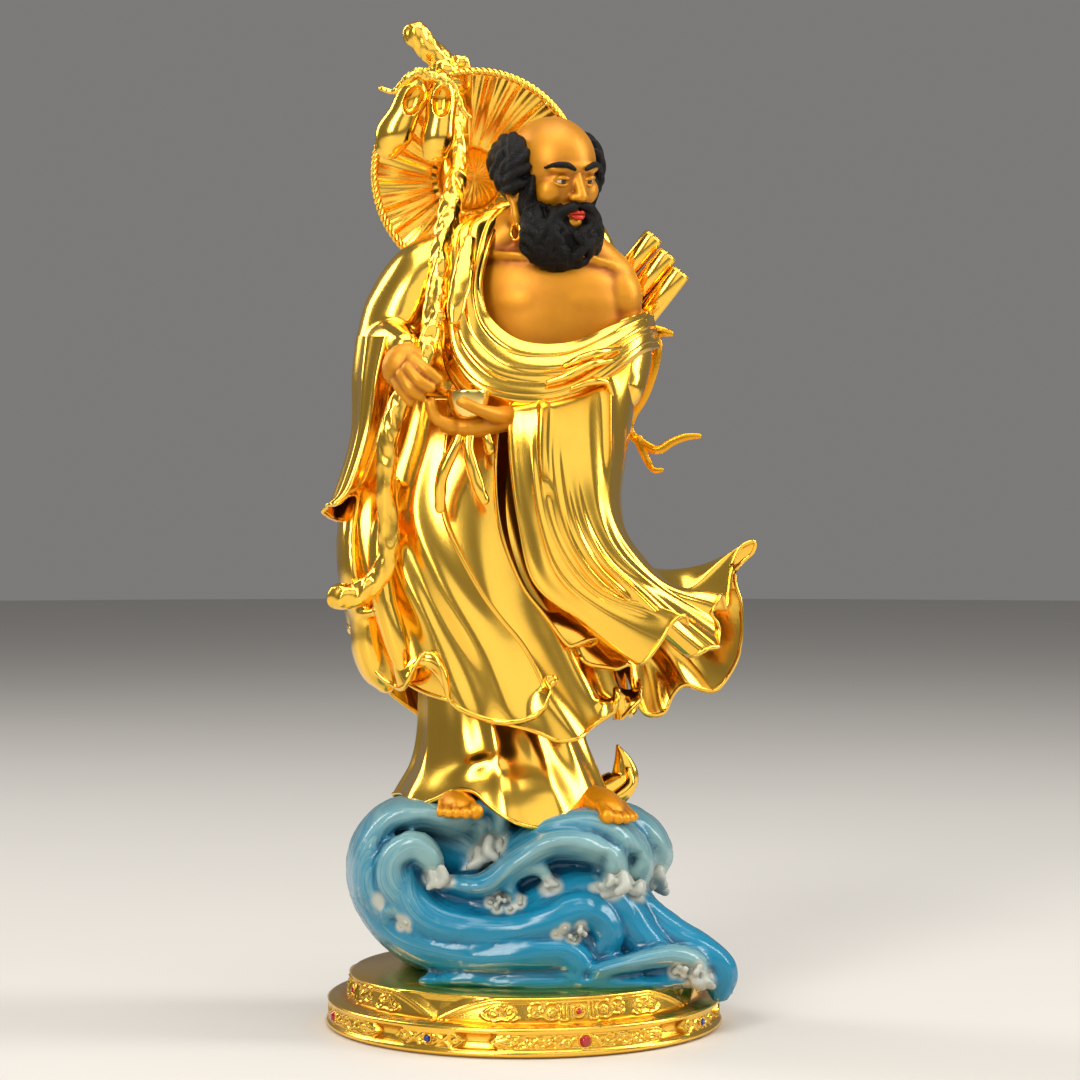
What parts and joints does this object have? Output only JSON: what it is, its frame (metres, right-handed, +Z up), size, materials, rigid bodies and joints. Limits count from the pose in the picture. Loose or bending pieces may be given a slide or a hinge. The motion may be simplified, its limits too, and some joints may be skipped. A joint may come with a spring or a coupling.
{
  "type": "bodhidharma statue",
  "caption": "Gilt statue of a bearded wandering monk with staff, straw hat, slippers and alms bowl, on a curling blue wave over a round jewelled plinth.",
  "frame": {"origin": "middle of the plinth's flat underside", "axes": "+Z up; -Y is the plinth's front, where a large red stone sits; +X is the viewer's right. The figure group is turned 17.5 degrees clockwise on it, seen from above"},
  "size_m": [0.2222, 0.1988, 0.5058],
  "materials": {
    "gilt": "bright electroplated gold over cast resin",
    "pale_gilt": "pale plated gold",
    "antique_gilt": "antique gold",
    "enamel": "glossy painted resin, turquoise with pale crests",
    "ruby": "red rhinestone",
    "sapphire": "blue rhinestone"
  },
  "bodies": {
    "root": {"plinth": "gilt", "wave": "enamel", "figure": "gilt", "staff": "gilt", "hat": "gilt", "bowl": "pale_gilt", "scrolls": "gilt", "sash": "antique_gilt", "shoe_left": "gilt", "shoe_right": "gilt", "shoe_cord": "gilt", "stone_large_1": "ruby", "stone_large_2": "ruby", "stone_large_3": "ruby", "stone_large_4": "ruby", "stone_blue_1": "sapphire", "stone_blue_2": "sapphire", "stone_blue_3": "sapphire", "stone_blue_4": "sapphire", "stone_small_1": "ruby", "stone_small_2": "ruby", "stone_small_3": "ruby", "stone_small_4": "ruby"}
  },
  "joints": []
}
